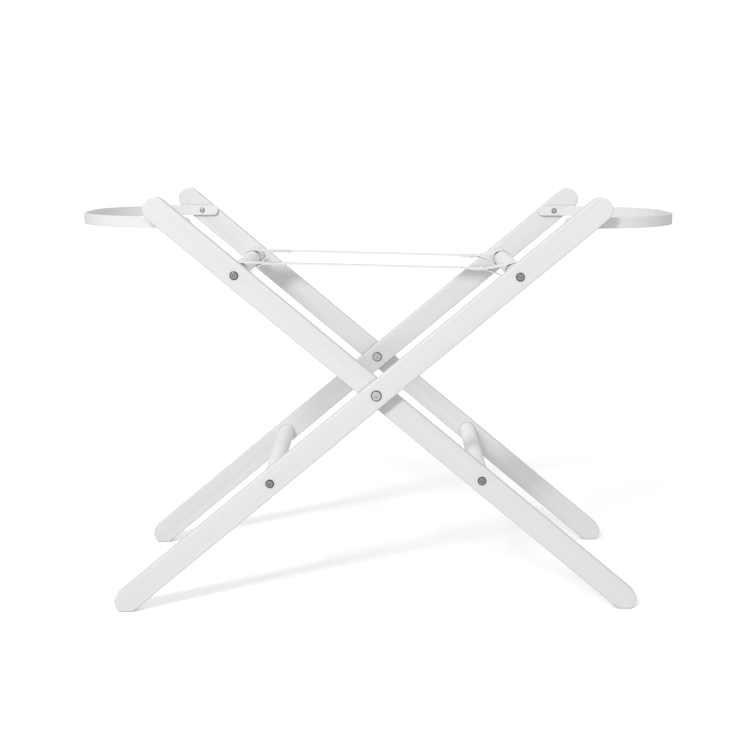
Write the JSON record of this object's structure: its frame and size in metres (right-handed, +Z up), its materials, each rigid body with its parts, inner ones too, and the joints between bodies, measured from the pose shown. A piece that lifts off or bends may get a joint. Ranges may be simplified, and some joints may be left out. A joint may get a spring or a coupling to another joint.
{
  "type": "folding basket stand",
  "caption": "Folding cross-legged wooden stand for a moses basket, with two swing-down end hoops and two web straps between its upper bars.",
  "frame": {"origin": "on the floor, under the middle of the stand's box", "axes": "+Z up, +X along the basket to the right hoop, +Y to the rear"},
  "size_m": [0.8888, 0.4098, 0.6046],
  "materials": {
    "painted_boards": "white satin paint over straight-grained wood",
    "painted_bars": "white satin paint on turned wood",
    "hoop_plastic": "cool white satin moulding",
    "strap_web": "white woven polyester web",
    "stud_plastic": "white press stud",
    "bolt_steel": "bright zinc-plated steel",
    "insert_zinc": "plain zinc alloy",
    "washer_nylon": "natural white nylon"
  },
  "bodies": {
    "right_frame": {"right_frame_front_leg": "painted_boards", "right_frame_rear_leg": "painted_boards", "right_frame_upper_bar": "painted_bars", "right_frame_lower_bar": "painted_bars", "front_pivot_bolt": "bolt_steel", "front_pivot_sleeve_nut": "bolt_steel", "front_pivot_washer": "washer_nylon", "rear_pivot_bolt": "bolt_steel", "rear_pivot_sleeve_nut": "bolt_steel", "rear_pivot_washer": "washer_nylon", "right_frame_bar_bolts": "bolt_steel", "right_frame_bar_inserts": "insert_zinc", "right_hoop_screws": "bolt_steel", "right_hoop_washers": "washer_nylon", "front_strap": "strap_web", "front_strap_stud_cap": "stud_plastic", "front_strap_stud_base": "stud_plastic", "rear_strap": "strap_web", "rear_strap_stud_cap": "stud_plastic", "rear_strap_stud_base": "stud_plastic"},
    "left_frame": {"left_frame_front_leg": "painted_boards", "left_frame_rear_leg": "painted_boards", "left_frame_upper_bar": "painted_bars", "left_frame_lower_bar": "painted_bars", "left_frame_bar_bolts": "bolt_steel", "left_frame_bar_inserts": "insert_zinc", "left_hoop_screws": "bolt_steel", "left_hoop_washers": "washer_nylon"},
    "right_hoop": {"right_hoop": "hoop_plastic"},
    "left_hoop": {"left_hoop": "hoop_plastic"}
  },
  "joints": [
    {"name": "frame_fold", "type": "hinge", "parent": "right_frame", "child": "left_frame", "pos_m": [0, 0, 0.32322], "axis": [0, 1, 0], "range_deg": [0, 89], "deforming": ["front_strap", "rear_strap"]},
    {"name": "right_hoop_swing", "type": "hinge", "parent": "right_frame", "child": "right_hoop", "pos_m": [0.29186, -0.0095, 0.56813], "axis": [0, 1, 0], "range_deg": [0, 127]},
    {"name": "left_hoop_swing", "type": "hinge", "parent": "left_frame", "child": "left_hoop", "pos_m": [-0.29186, 0.0095, 0.56813], "axis": [0, -1, 0], "range_deg": [0, 127]}
  ]
}
